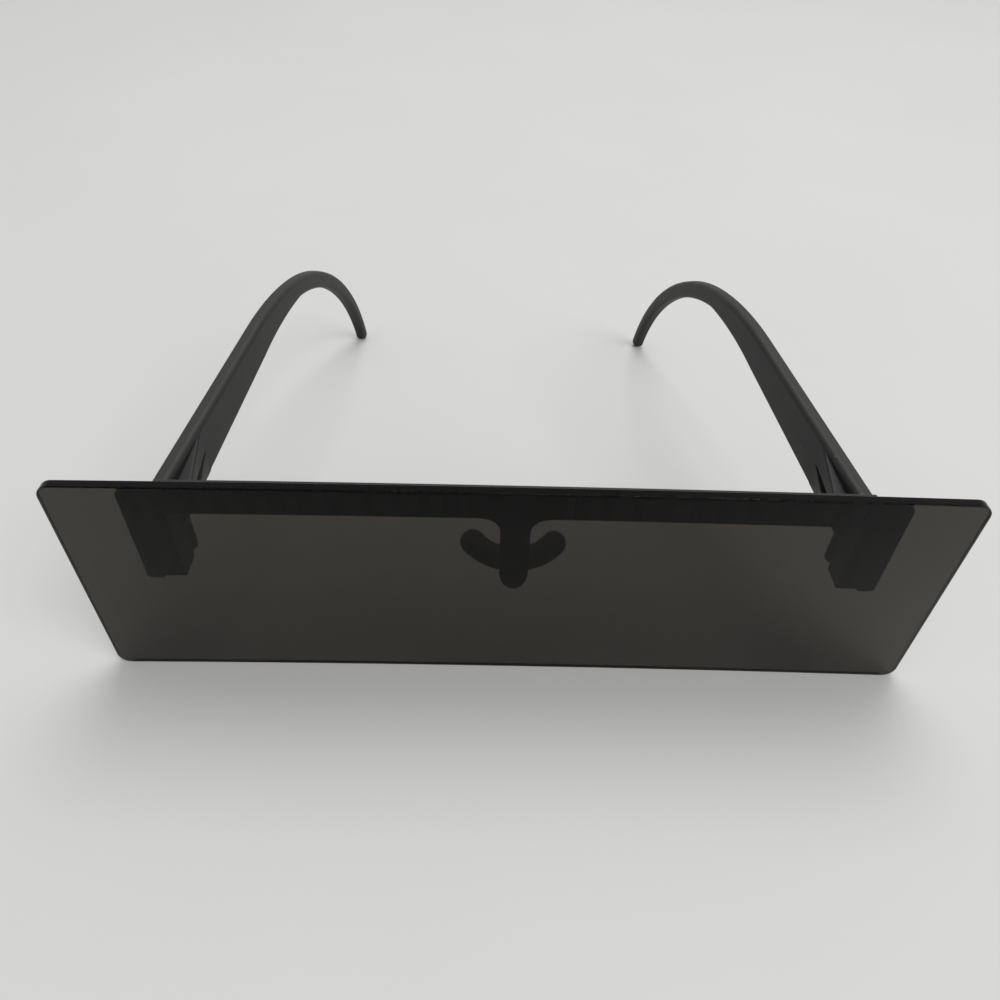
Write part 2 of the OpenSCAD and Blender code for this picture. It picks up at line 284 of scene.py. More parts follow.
# %% [markdown]
# ## The tinted panel
#
# The panel is cut from two-millimetre acrylic sheet, with rounded corners and
# polished edges, and it bows a little because the frame behind it does. A thin box
# would do for the shape, but its edges would catch no light. So a block gets its
# corners rounded, then both rims, then it is sliced into strips across its width,
# so that a bend modifier has something to bend.

# %% Panel
PANEL_W, PANEL_H, PANEL_T = 165, 50, 2
PANEL_CORNER, PANEL_RIM = 2.6, 0.25
STRIP = 5
BOW = 0.65
BEND_RADIUS = (PANEL_W ** 2 / 4 + BOW ** 2) / (2 * BOW)


def slice_strips(piece, half):
    """Cuts a piece into strips across its width"""
    count = int(half // STRIP)
    for i in range(-count, count + 1):
        slice_at(piece, (i * STRIP, 0, 0), (1, 0, 0))


def bend_with_panel(piece, width):
    """Bends a piece of the given width about the panel's own curve"""
    take(piece)
    bend = piece.modifiers.new("bend", "SIMPLE_DEFORM")
    bend.deform_method = "BEND"
    bend.deform_axis = "Z"
    bend.angle = -width / BEND_RADIUS
    bpy.ops.object.modifier_apply(modifier=bend.name)


half_w, half_t = PANEL_W / 2, PANEL_T / 2
panel = block("tinted_panel", (-half_w, -half_t, 0), (half_w, half_t, PANEL_H))
pick(panel, "EDGE", lambda middle, way: abs(way.y) > 0.9)
round_off(PANEL_CORNER, 10)
pick(panel, "EDGE", lambda middle, way: abs(abs(middle.y) - half_t) < 0.01)
round_off(PANEL_RIM, 3)
slice_strips(panel, half_w - PANEL_CORNER)
bend_with_panel(panel, PANEL_W)
clean(panel)

# %% [markdown]
# ## The frame: brow bar, end blocks, post and lugs
#
# The black frame is one moulding. On the bench it is easiest to model its members
# one by one, each from a block, and to join them at the end, because a union keeps
# every member's own rounded edges. The brow bar has a small step along its top rear
# edge, and it is bent exactly as the panel is, because it is stuck to it.

# %% Brow bar
FILM_T, BAR_T = 0.15, 2.1
FRONT = PANEL_T / 2 + FILM_T
BAR_BACK = FRONT + BAR_T
BAR_BOTTOM, FRAME_TOP = 42.8, 48.9
STEP = 0.6
BLOCK_IN, BLOCK_OUT = 62.3, 69.9
EDGE = 0.22
TUCK = 1


def panel_curve(x):
    """How far the panel has come forward at a place across its width"""
    return BOW * (2 * x / PANEL_W) ** 2


half_bar = BLOCK_IN + TUCK
bar_low, bar_high = (-half_bar, FRONT, BAR_BOTTOM), (half_bar, BAR_BACK, FRAME_TOP - STEP)
brow = block("black_frame", bar_low, bar_high)
slice_at(brow, (0, BAR_BACK - STEP, 0), (0, 1, 0))
pick(brow, "FACE", lambda middle, way: way.z > 0.9 and middle.y < BAR_BACK - STEP)
extrude(z=STEP)
pick_creases(brow, 40)
round_off(EDGE)
slice_strips(brow, half_bar)
bend_with_panel(brow, 2 * half_bar)
clean(brow)

# %% [markdown]
# The nose post widens into the bar with a round fillet on both sides, and ends in
# a long half oval. Both come from the same move: rings are cut across the block,
# and each is scaled to the width that the curve has at its height.

# %% Nose post
POST_W, POST_T, POST_BOTTOM = 5.5, 2.8, 23.9
POST_END, POST_FLAT, POST_EDGE = 4.2, 0.3, 0.3
FILLET = 3.6

POST_BACK, POST_TOP = FRONT + POST_T, BAR_BOTTOM + TUCK
half_post = POST_W / 2
post = block("post", (-half_post, FRONT, POST_BOTTOM), (half_post, POST_BACK, POST_TOP))
rings = {BAR_BOTTOM - FILLET: half_post}
for share in (0.25, 0.5, 0.75, 0.92, 1):
    side = half_post + FILLET * (1 - math.sqrt(1 - share ** 2))
    rings[BAR_BOTTOM - FILLET * (1 - share)] = side
for degrees in (0, 15, 30, 44, 56, 67, 77):
    turned = math.radians(degrees)
    rings[POST_BOTTOM + POST_END * (1 - math.sin(turned))] = half_post * math.cos(turned)
for height in rings:
    slice_at(post, (0, 0, height), (0, 0, 1))
rings[POST_BOTTOM] = POST_FLAT
rings[POST_TOP] = half_post + FILLET
for height, side in rings.items():
    pick(post, "VERT", lambda place, way: abs(place.z - height) < 0.01)
    widen((side / half_post, 1, 1), (0, 0, height))
pick_creases(post, 60)
round_off(POST_EDGE)
print("post is", POST_W, "wide and reaches down to", POST_BOTTOM)

# %% [markdown]
# Each end block is deep where it carries the hinge, slopes at its shoulder to a
# thin plate, and has a lip along its outer side that reaches a little lower. That
# is a block, extruded upwards twice, with the lip pulled out of its underside. The
# front is moved forward by the panel's own curve, so that it stays stuck to it.

# %% End blocks
BLOCK_T, PLATE_T = 5, 1.5
BLOCK_LOW, LIP_LOW, LIP_W = 26.4, 25.7, 3.2
HINGE_TOP, SHOULDER, PLATE_TOP = 40.3, 3.2, 48.4
CORNER_LOW, CORNER_HIGH = 1.8, 1.6
KNUCKLE = 1.9
HINGE_X = BLOCK_IN + KNUCKLE
BLOCK_BACK, PLATE_BACK = FRONT + BLOCK_T, FRONT + PLATE_T - panel_curve(HINGE_X)


def end_block():
    """The end block on the right, with its front on the panel's curve"""
    made = block("end", (BLOCK_IN, FRONT, BLOCK_LOW), (BLOCK_OUT, BLOCK_BACK, HINGE_TOP))
    pick(made, "FACE", lambda middle, way: way.z > 0.9)
    extrude(z=SHOULDER)
    pick(made, "VERT", lambda place, way: place.z > HINGE_TOP + 1 and place.y > FRONT + 1)
    pull(y=PLATE_BACK - BLOCK_BACK)
    pick(made, "FACE", lambda middle, way: way.z > 0.9)
    extrude(z=PLATE_TOP - HINGE_TOP - SHOULDER)
    slice_at(made, (BLOCK_OUT - LIP_W, 0, 0), (1, 0, 0))
    pick(made, "FACE", lambda middle, way: way.z < -0.9 and middle.x > BLOCK_OUT - LIP_W)
    extrude(z=LIP_LOW - BLOCK_LOW)
    for x in (BLOCK_IN, BLOCK_OUT - LIP_W, BLOCK_OUT):
        pick(made, "VERT", lambda place, way: abs(place.x - x) < 0.01 and place.y < FRONT + 0.1)
        pull(y=-panel_curve(x))
    for height, radius, segments in ((LIP_LOW, CORNER_LOW, 8), (PLATE_TOP, CORNER_HIGH, 6)):
        pick(
            made, "EDGE",
            lambda middle, way: abs(way.y) > 0.9
            and middle.x > BLOCK_OUT - 0.01 and abs(middle.z - height) < 0.1,
        )
        round_off(radius, segments)
    pick_creases(made, 36)
    round_off(EDGE)
    return made

# %% [markdown]
# A lug is a knuckle round the screw with a straight web back to its block. A drum
# is halved, and the flat face that the cut leaves is pulled out as the web. Two of
# them stand on each block, and the temple's three knuckles mesh with them.

# %% Hinge lugs
TURN_GAP = 0.3
HINGE_Y = BLOCK_BACK + TURN_GAP + KNUCKLE
LUG_H, LUG_LOW, LUG_EDGE = 2, (33.2, 36.7), 0.12
BORE, BORE_LOW, BORE_L = 0.75, 30, 12


def lug(low):
    """One lug on the right, from its knuckle into the end block"""
    made = drum("lug", (HINGE_X, HINGE_Y, low), KNUCKLE, LUG_H)
    slice_at(made, (0, HINGE_Y, 0), (0, 1, 0), clear_inner=True, use_fill=True)
    pick(made, "FACE", lambda middle, way: way.y < -0.9)
    extrude(y=BLOCK_BACK - HINGE_Y - TUCK)
    pick_creases(made, 40, lambda middle: middle.y > BLOCK_BACK - TUCK / 2)
    round_off(LUG_EDGE)
    return made


def frame_end():
    """Everything of the frame's right end, with the screw's bore through the lugs"""
    made = end_block()
    for low in LUG_LOW:
        combine(made, lug(low), "UNION")
    combine(made, drum("bore", (HINGE_X, HINGE_Y, BORE_LOW), BORE, BORE_L, 32), "DIFFERENCE")
    return made


def mirrored(piece):
    """A copy with its own mesh, mirrored to the left side"""
    take(piece)
    bpy.ops.object.duplicate(linked=False)
    other = bpy.context.object
    bpy.ops.transform.resize(value=(-1, 1, 1), center_override=(0, 0, 0))
    bpy.ops.object.transform_apply(location=True, rotation=True, scale=True)
    pick(other, "VERT", lambda place, way: True)
    bpy.ops.mesh.normals_make_consistent(inside=False)
    let_go()
    return other


right_end = frame_end()
left_end = mirrored(right_end)
for member in (right_end, left_end, post):
    combine(brow, member, "UNION")
clean(brow)

# %% [markdown]
# ## The nose rest
#
# A short rod of soft vinyl, bent to the bridge of a nose, with a small lobe at each
# end. A curve with a bevel would make it, but a spun circle is as quick and stays
# exact: a disc is swept round the bend, and its end rings are scaled and extruded
# into lobes. A saddle is cut where it grips the post.

# %% Nose rest
REST_R, REST_TURN, ROD, LOBE = 9.5, 114, 2.4, 2.5
REST_Z = 28.8
GRIP, GRIP_GAP, SADDLE_REACH = 1.7, 0.05, 5
REST_CENTRE = Vector((0, POST_BACK - GRIP + ROD + REST_R, REST_Z))
SPIN_STEPS = 28


def rest_point(angle):
    """A point of the rod's middle line, at an angle from the post"""
    return REST_CENTRE + REST_R * Vector((math.sin(angle), -math.cos(angle), 0))


def rest_way(angle):
    """The rod's direction at that point"""
    return Vector((math.cos(angle), math.sin(angle), 0))


half_turn = math.radians(REST_TURN / 2)
let_go()
bpy.ops.mesh.primitive_circle_add(
    vertices=32, radius=ROD * MM, fill_type="NGON",
    location=rest_point(-half_turn) * MM, rotation=(0, math.pi / 2, -half_turn),
)
rest = named("nose_rest_soft")
pick(rest, "FACE", lambda middle, way: True)
bpy.ops.mesh.spin(
    steps=SPIN_STEPS, angle=-2 * half_turn, center=REST_CENTRE * MM, axis=(0, 0, 1)
)


def grow_lobe(end):
    """Shapes the last rings at one end of the rod into a lobe"""
    ring_step = 2 * half_turn / SPIN_STEPS
    for back, radius in ((1, (ROD + LOBE) / 2), (0, LOBE)):
        angle = end * (half_turn - back * ring_step)
        point, way = rest_point(angle), rest_way(angle)
        pick(
            rest, "VERT",
            lambda place, n: abs((place - point).dot(way)) < 0.05 and place.x * end > 0,
        )
        widen((radius / ROD,) * 3, point)
    angle = end * half_turn
    point, way, radius = rest_point(angle), rest_way(angle) * end, LOBE
    pick(rest, "FACE", lambda middle, n: (middle - point).length < 0.1 and abs(n.dot(way)) > 0.9)
    reached = 0
    for share in (0.3, 0.55, 0.76, 0.91, 0.985):
        extrude(*(way * LOBE * (share - reached)))
        reached = share
        point = rest_point(angle) + way * LOBE * share
        widen((LOBE * math.sqrt(1 - share ** 2) / radius,) * 3, point)
        radius = LOBE * math.sqrt(1 - share ** 2)


for end in (-1, 1):
    grow_lobe(end)
clean(rest)
side = half_post + GRIP_GAP
low, high = (-side, 0, REST_Z - SADDLE_REACH), (side, POST_BACK + GRIP_GAP, REST_Z + SADDLE_REACH)
combine(rest, block("saddle", low, high), "DIFFERENCE")
clean(rest, 40)

# %% [markdown]
# ## The hinge screws
#
# A small slotted screw holds each hinge. It is a drum with a rounded rim. Its
# underside is inset and pulled down as the shank, and a thin block cuts the slot.
# It is modelled once, and the second one is a copy with its own mesh.

# %% Hinge screws
HINGE_LOW = 27.0
HEAD_R, HEAD_H, HEAD_EDGE = 1.25, 0.7, 0.2
SHANK_R, SHANK_END, SHANK_TAPER = 0.7, 0.25, 0.7
DRIVE_W, DRIVE_DEPTH = 0.3, 0.35


def screw(name, side):
    """A slotted screw in one hinge"""
    made = drum(name, (HINGE_X, HINGE_Y, HINGE_TOP - HEAD_H), HEAD_R, HEAD_H)
    pick(made, "EDGE", lambda middle, way: middle.z > HINGE_TOP - 0.01)
    round_off(HEAD_EDGE, 3)
    pick(made, "FACE", lambda middle, way: way.z < -0.9)
    bpy.ops.mesh.inset(thickness=(HEAD_R - SHANK_R) * MM)
    extrude(z=HINGE_LOW + SHANK_END - HINGE_TOP + HEAD_H)
    extrude(z=-SHANK_END)
    widen((SHANK_TAPER, SHANK_TAPER, 1), (HINGE_X, HINGE_Y, HINGE_LOW))
    low = (HINGE_X - 2, HINGE_Y - DRIVE_W / 2, HINGE_TOP - DRIVE_DEPTH)
    high = (HINGE_X + 2, HINGE_Y + DRIVE_W / 2, HINGE_TOP + 1)
    combine(made, block("slot", low, high), "DIFFERENCE")
    if side < 0:
        other = mirrored(made)
        bpy.data.objects.remove(made)
        made = other
        made.name = made.data.name = name
    clean(made)
    return made


screw_right = screw("screw_right", 1)
screw_left = screw("screw_left", -1)

# %% [markdown]
# ## The temples
#
# A temple is a flat plastic arm. From thirteen millimetres high at its hinge it
# tapers to the bend over the ear, and it sweeps down in one curve to a round tip on
# the table. A curve object could carry the section, but the spin operator sweeps
# the arm's own end face round the ear, and each ring is then scaled to its height.
# The long edges are rounded before the tip is drawn out, so that the tip is a dome.

# %% The arm's sizes and its curve
ARM_IN, ARM_T, STUB = 2.1, 3.1, 2.6
ARM_OUT = ARM_IN + ARM_T
ROOT_H = HINGE_TOP - HINGE_LOW
CROWN_H, TIP_H = 5.5, 3.1
TOP_FILL, BELLY, FADE_SHARE = 1.3, 1.8, 0.3
START_H = CROWN_H + TOP_FILL + BELLY
RISE, EAR_R = math.radians(13), 61.5
BEND_STEPS = 40
ARM_EDGE_IN, ARM_EDGE_OUT = 1.25, 0.6

bend_start = Vector((0, 49.7, 41.8))
bend_centre = bend_start + EAR_R * Vector((0, math.sin(RISE), -math.cos(RISE)))
tip_turn = math.acos((TIP_H / 2 - bend_centre.z) / EAR_R)
print("the arm turns down by", round(math.degrees(tip_turn)), "degrees at its tip")


def arm_place(turned):
    """A point of the arm's middle line and its direction, at a turn from the top"""
    out = Vector((0, math.sin(turned), math.cos(turned)))
    middle = Vector((ARM_IN + ARM_T / 2, 0, 0))
    return middle + bend_centre + EAR_R * out, Vector((0, out.z, -out.y))


def edges_out(share):
    """How far the arm's top and bottom edges are from its middle line in the bend"""
    left = max(0, 1 - share / FADE_SHARE)
    half = (CROWN_H + (TIP_H - CROWN_H) * share) / 2
    return half + TOP_FILL * left ** 2, half + BELLY * left * (2 - left)

# %% [markdown]
# The arm starts as a block whose far face is pulled to where the bend begins, turned
# to the bend's slope and spun round the ear. Then each ring gets its own height.

# %% The bare arm
def arm(name):
    """The bare arm, from a stub at the hinge to its round tip"""
    made = block(name, (ARM_IN, -STUB, HINGE_LOW), (ARM_OUT, 0, HINGE_TOP))
    pick(made, "FACE", lambda middle, way: way.y > 0.9)
    extrude(y=bend_start.y, z=bend_start.z - HINGE_LOW - ROOT_H / 2)
    start = arm_place(-RISE)[0]
    widen((1, 1, START_H / ROOT_H), start)
    bpy.ops.transform.rotate(
        value=-RISE, orient_axis="X", center_override=[c * MM for c in start]
    )
    bpy.ops.mesh.spin(
        steps=BEND_STEPS, angle=tip_turn + RISE, center=bend_centre * MM, axis=(1, 0, 0)
    )
    for i in range(BEND_STEPS + 1):
        share = i / BEND_STEPS
        point, way = arm_place((tip_turn + RISE) * share - RISE)
        pick(
            made, "VERT",
            lambda place, n: (place - point).length < 5
            and abs((place - point).dot(way)) < 0.05,
        )
        above, below = edges_out(share)
        widen((1, (above + below) / START_H, (above + below) / START_H), point)
        pull(y=-way.z * (above - below) / 2, z=way.y * (above - below) / 2)
    tip, way = arm_place(tip_turn)
    for inner, radius in ((True, ARM_EDGE_IN), (False, ARM_EDGE_OUT)):
        pick_creases(
            made, 60,
            lambda middle: middle.y > 0.5 and abs((middle - tip).dot(way)) > 0.1
            and (middle.x < ARM_IN + ARM_T / 2) == inner,
        )
        round_off(radius, 5)
    pick(made, "FACE", lambda middle, n: (middle - tip).length < 0.5 and abs(n.dot(way)) > 0.9)
    reached, size = 0, 1
    for degrees in (18, 36, 52, 66, 78, 86):
        share, left = math.sin(math.radians(degrees)), math.cos(math.radians(degrees))
        extrude(*(way * TIP_H / 2 * (share - reached)))
        widen((left / size,) * 3, tip + way * TIP_H / 2 * share)
        reached, size = share, left
    return made

# %% [markdown]
# ## The hinge boss on the arm
#
# On its inner side the arm thickens towards the hinge in a long ramp, whose upper
# side stands out as a rib. It leans back to nothing at the arm's bottom edge. Short
# webs join the knuckles. Every one of these is a wedge: a block with its far inner
# edge pushed back into the arm, trimmed by planes.

# %% Boss and webs
RAMP, WEB_L, TOP_WEB_L = 17, 5, 3
BOSS_LOW, BOSS_EDGE, SPARE = 0.9, 0.5, 5
KNUCKLE_GAP, RIB_STEP = 0.1, 1
TURN_R = KNUCKLE + TURN_GAP
LUG_ROOM = math.hypot(KNUCKLE, TURN_R) + TURN_GAP
RIB_LOW = LUG_LOW[1] - KNUCKLE_GAP + RIB_STEP
RIB_SLOPE, LEAN = math.radians(14.5), math.radians(17)
drop = CROWN_H / 2 + BELLY
bottom_end = bend_start + drop * Vector((0, math.sin(RISE), -math.cos(RISE)))
BOTTOM_SLOPE = math.atan((bottom_end.z - HINGE_LOW) / bottom_end.y)


def wedge(low, high, length):
    """A wedge on the arm's inner side, from the knuckle out to nothing"""
    made = block("wedge", (-KNUCKLE, 0, low), (ARM_IN + 1, length, high))
    pick(made, "VERT", lambda place, way: place.y > 1 and place.x < 0)
    pull(x=KNUCKLE + ARM_IN)
    return made


def trim(piece, point, tilt, lean=0, above=False):
    """Trims a wedge below, or above, a plane that climbs along the arm"""
    normal = (
        math.sin(lean), -math.cos(lean) * math.sin(tilt), math.cos(lean) * math.cos(tilt)
    )
    slice_at(piece, point, normal, clear_inner=not above, clear_outer=above, use_fill=True)


def boss():
    """The long ramp with its rib"""
    made = wedge(HINGE_LOW - SPARE, HINGE_TOP + SPARE, RAMP)
    trim(made, (0, LUG_ROOM, RIB_LOW), RIB_SLOPE, above=True)
    trim(made, (0, 0, HINGE_LOW + BOSS_LOW), BOTTOM_SLOPE)
    trim(made, (ARM_IN, 0, HINGE_LOW), BOTTOM_SLOPE, lean=math.pi / 2 - LEAN)
    pick_creases(made, 40, lambda middle: middle.x < ARM_IN - 0.2 and middle.y > 1)
    round_off(BOSS_EDGE, 4)
    return made


def web(low, high, length):
    """A short web between a knuckle and the arm"""
    made = wedge(low, high, length)
    trim(made, (0, 0, HINGE_LOW), BOTTOM_SLOPE)
    return made

# %% [markdown]
# Two slots take the frame's lugs. The lower one runs out along the ramp as a narrow
# groove, and the upper one opens into the space above the rib: those are the two
# dark wedges above the panel in the photograph. Each cutter is a block with its
# corners moved, joined with the room that a lug needs to turn.

# %% Slots
SLOT_H, SLOT_L = LUG_H + 2 * KNUCKLE_GAP, 6.3
GROOVE_RISE, GROOVE_END, GROOVE_STEP = 3.3, 0.5, 0.8


def lug_room(low, slot):
    """The room for one lug as it turns, joined with its slot"""
    combine(slot, drum("room", (0, 0, low), TURN_R, SLOT_H), "UNION")
    mouth = block("mouth", (-2 * TURN_R, -2 * TURN_R, low), (TURN_R, 0.01, low + SLOT_H))
    combine(slot, mouth, "UNION")
    return slot


def lower_slot():
    """The lower slot with its groove"""
    low = LUG_LOW[0] - KNUCKLE_GAP
    made = block("slot", (-2 * TURN_R, 0, low), (ARM_IN, RAMP, low + SLOT_H))
    for y in (LUG_ROOM, SLOT_L):
        slice_at(made, (0, y, 0), (0, 1, 0))
    moves = (
        (RAMP, True, GROOVE_RISE + GROOVE_END / 2 - SLOT_H),
        (RAMP, False, GROOVE_RISE - GROOVE_END / 2),
        (SLOT_L, True, GROOVE_STEP),
    )
    for y, upper, shift in moves:
        pick(
            made, "VERT",
            lambda place, way: abs(place.y - y) < 0.01 and (place.z > low + 1) == upper,
        )
        pull(z=shift)
    return lug_room(low, made)


def upper_slot():
    """The upper slot, which ends at the rib"""
    low = LUG_LOW[1] - KNUCKLE_GAP
    made = block("slot", (-2 * TURN_R, 0, low), (ARM_IN, LUG_ROOM, low + SLOT_H))
    return lug_room(low, made)

# %% [markdown]
# The finished arm is the bare one with its boss, webs and knuckles, minus the slots
# and the screw's hole. It is turned inwards by as much as it stands open in the
# photograph, where the two differ. The cut that follows is the stop: opened, the
# arm butts against the end block's back.

# %% Finished temples
STOP_GAP, HEAD_GAP = 0.05, 0.05
TOE_LEFT, TOE_RIGHT = 9.1, 11.6
STOP = BLOCK_BACK + STOP_GAP - HINGE_Y


def temple(name, toe, side):
    """A whole temple at its hinge, opened to its angle"""
    made = arm(name)
    parts = (
        boss(),
        web(HINGE_LOW - 1, LUG_LOW[1], WEB_L),
        web(LUG_LOW[1], HINGE_TOP, TOP_WEB_L),
        block("filler", (0, -KNUCKLE, HINGE_LOW), (ARM_IN + 0.5, 0.5, HINGE_TOP)),
        drum("knuckle", (0, 0, HINGE_LOW), KNUCKLE, ROOT_H),
    )
    for part in parts:
        combine(made, part, "UNION")
    cuts = (
        lower_slot(),
        upper_slot(),
        drum("bore", (0, 0, HINGE_LOW - 1), BORE, ROOT_H + 2, 32),
        drum("head_room", (0, 0, HINGE_TOP - HEAD_H), HEAD_R + HEAD_GAP, HEAD_H + 1, 32),
    )
    for cutter in cuts:
        combine(made, cutter, "DIFFERENCE")
    take(made)
    made.rotation_euler.z = math.radians(toe)
    bpy.ops.object.transform_apply(location=True, rotation=True, scale=True)
    slice_at(made, (0, STOP, 0), (0, 1, 0), clear_inner=True, use_fill=True)
    pick(made, "VERT", lambda place, way: True)
    pull(x=HINGE_X, y=HINGE_Y)
    if side < 0:
        other = mirrored(made)
        bpy.data.objects.remove(made)
        made = other
        made.name = made.data.name = name
    clean(made, 35)
    return made


arm_right = temple("arm_right", TOE_RIGHT, 1)
arm_left = temple("arm_left", TOE_LEFT, -1)

# %% [markdown]
# ## Shared effects for the finishes
#
# Three of the six finishes are mouldings, and mouldings have the same habits: a fine
# grain from the tool, edges that shine a little from handling, and a touch of dust.
# Each effect is a node group, so that a finish only states its own amounts. Groups
# give out colours, heights and masks. The shader itself stays in each material.

# %% Tools for node trees
def fill(tree, node, sockets):
    """Gives a node's inputs a value each, or a link from another node's socket"""
    for key, value in sockets.items():
        if isinstance(value, bpy.types.NodeSocket):
            tree.links.new(value, node.inputs[key])
        else:
            node.inputs[key].default_value = value


def put(tree, kind, sockets, **settings):
    """Adds a node with its settings and inputs"""
    made = tree.nodes.new(kind)
    for key, value in settings.items():
        setattr(made, key, value)
    fill(tree, made, sockets)
    return made


def position(tree):
    """The piece's own coordinates, in metres"""
    return tree.nodes.new("ShaderNodeTexCoord").outputs["Object"]


def sums(tree, operation, *numbers):
    """A node that works something out from numbers or sockets"""
    made = put(tree, "ShaderNodeMath", dict(enumerate(numbers)), operation=operation)
    return made.outputs[0]


def noise(tree, scale, detail, **others):
    """A noise on the piece's own coordinates"""
    sockets = {"Vector": position(tree), "Scale": scale, "Detail": detail, **others}
    return put(tree, "ShaderNodeTexNoise", sockets).outputs["Fac"]


def ranged(tree, value, low=0.0, high=1.0, to_low=0.0, to_high=1.0):
    """A value stretched from one range to another and kept inside it"""
    sockets = {
        "Value": value, "From Min": low, "From Max": high, "To Min": to_low, "To Max": to_high
    }
    return put(tree, "ShaderNodeMapRange", sockets).outputs[0]


def mixed(tree, factor, first, second):
    """A mix of two colours"""
    made = put(tree, "ShaderNodeMix", {0: factor, 6: first, 7: second}, data_type="RGBA")
    return made.outputs[2]


def bumped(tree, height, depth, strength=1.0):
    """A normal tilted by a height; the depth is in millimetres"""
    sockets = {"Height": height, "Distance": depth * MM, "Strength": strength}
    return put(tree, "ShaderNodeBump", sockets).outputs["Normal"]

# %% [markdown]
# A group is an empty tree with named inputs and outputs. Its outputs are then filled
# like any other node's inputs.

# %% Tools for groups
def new_group(name, inputs, outputs):
    """An empty node group with named inputs, with their values, and outputs"""
    tree = bpy.data.node_groups.new(name, "ShaderNodeTree")
    kinds = {float: "NodeSocketFloat", tuple: "NodeSocketColor"}
    for label, value in inputs.items():
        kind = kinds[type(value)]
        made = tree.interface.new_socket(label, in_out="INPUT", socket_type=kind)
        made.default_value = value
    for label, kind in outputs.items():
        tree.interface.new_socket(label, in_out="OUTPUT", socket_type=kinds[kind])
    return tree, tree.nodes.new("NodeGroupInput").outputs, tree.nodes.new("NodeGroupOutput")


def place_group(tree, group, values):
    """Puts a group into a material with its own values"""
    made = tree.nodes.new("ShaderNodeGroup")
    made.node_tree = group
    fill(tree, made, values)
    return made.outputs

# %% [markdown]
# Spark-eroded moulds leave a fine leathery grain, here of a quarter to a third of a
# millimetre. One noise gives the pebbles, and a coarser one adds the faint long
# waviness that plastic gets as it cools. The coarser one also comes out as a mask,
# by which a finish varies its colour and gloss.

# %% Group: moulded grain
PATCHES_PER_METRE = 140.0

grain_group, given, result = new_group(
    "moulded grain",
    {"Grains per metre": 5000.0, "Waviness": 0.5},
    {"Height": float, "Mask": float},
)
tree = grain_group
fine = noise(tree, given["Grains per metre"], 2.0, Roughness=0.6)
patches = noise(tree, PATCHES_PER_METRE, 3.0)
wave = sums(tree, "MULTIPLY", patches, given["Waviness"])
fill(tree, result, {"Height": sums(tree, "ADD", fine, wave), "Mask": patches})
print("made group", tree.name)

# %% [markdown]
# Edges of black plastic go a little lighter and smoother where hands and tables rub
# them. Pointiness finds the rounded edges, because the bevels there have corners of
# their own, and a noise breaks the line up, so that no edge is worn all along.

# %% Group: rubbed edges
RUBS_PER_METRE = 260.0

rub_group, given, result = new_group(
    "rubbed edges",
    {"Colour": (0.02, 0.02, 0.02, 1.0), "Rubbed": (0.06, 0.06, 0.06, 1.0), "Amount": 0.5},
    {"Colour": tuple, "Mask": float},
)
tree = rub_group
point = tree.nodes.new("ShaderNodeNewGeometry").outputs["Pointiness"]
edge = ranged(tree, point, 0.51, 0.62)
broken = ranged(tree, noise(tree, RUBS_PER_METRE, 4.0), 0.38, 0.62)
worn = sums(tree, "MULTIPLY", edge, broken)
mask = sums(tree, "MULTIPLY", worn, given["Amount"])
colour = mixed(tree, mask, given["Colour"], given["Rubbed"])
fill(tree, result, {"Colour": colour, "Mask": mask})
print("made group", tree.name)

# %% [markdown]
# Dust settles on what faces up, in specks and in a thin grey film. The film follows
# the surface's upward tilt, and the specks are the middles of a cell pattern, most
# of which are dropped.

# %% Group: settled dust
CELLS_PER_METRE, SPECK_RIM, SPECK_CORE, DROPPED = 420.0, 0.13, 0.07, 0.93
FILM_STRENGTH = 0.12

dust_group, given, result = new_group(
    "settled dust",
    {"Colour": (0.02, 0.02, 0.02, 1.0), "Dust": (0.35, 0.34, 0.32, 1.0), "Amount": 0.3},
    {"Colour": tuple, "Mask": float},
)
tree = dust_group
normal = tree.nodes.new("ShaderNodeNewGeometry").outputs["Normal"]
upward = put(tree, "ShaderNodeSeparateXYZ", {"Vector": normal}).outputs["Z"]
film = ranged(tree, upward, 0.2, 1.0, to_high=FILM_STRENGTH)
sockets = {"Vector": position(tree), "Scale": CELLS_PER_METRE}
cells = put(tree, "ShaderNodeTexVoronoi", sockets).outputs
speck = ranged(tree, cells["Distance"], SPECK_RIM, SPECK_CORE)
kept = put(tree, "ShaderNodeSeparateColor", {"Color": cells["Color"]}).outputs[0]
specks = sums(tree, "MULTIPLY", speck, sums(tree, "GREATER_THAN", kept, DROPPED))
both = sums(tree, "MAXIMUM", film, specks)
mask = sums(tree, "MULTIPLY", both, given["Amount"])
colour = mixed(tree, mask, given["Colour"], given["Dust"])
fill(tree, result, {"Colour": colour, "Mask": mask})
print("made group", tree.name)

# %% [markdown]
# ## The finishes
#
# Frame, temples and nose rest are black plastics that differ in gloss and grain, so
# one function lays out their common tree, and each material sets its own values.

# %% Black mouldings
def new_material(name):
    """A material with its tree and its principled shader"""
    made = bpy.data.materials.new(name)
    made.use_nodes = True
    return made, made.node_tree, made.node_tree.nodes["Principled BSDF"]


BLACK_SHINE, RUB_SHINE = 0.28, 0.15
SHADE_SPREAD, ROUGH_SPREAD = 0.2, 0.05


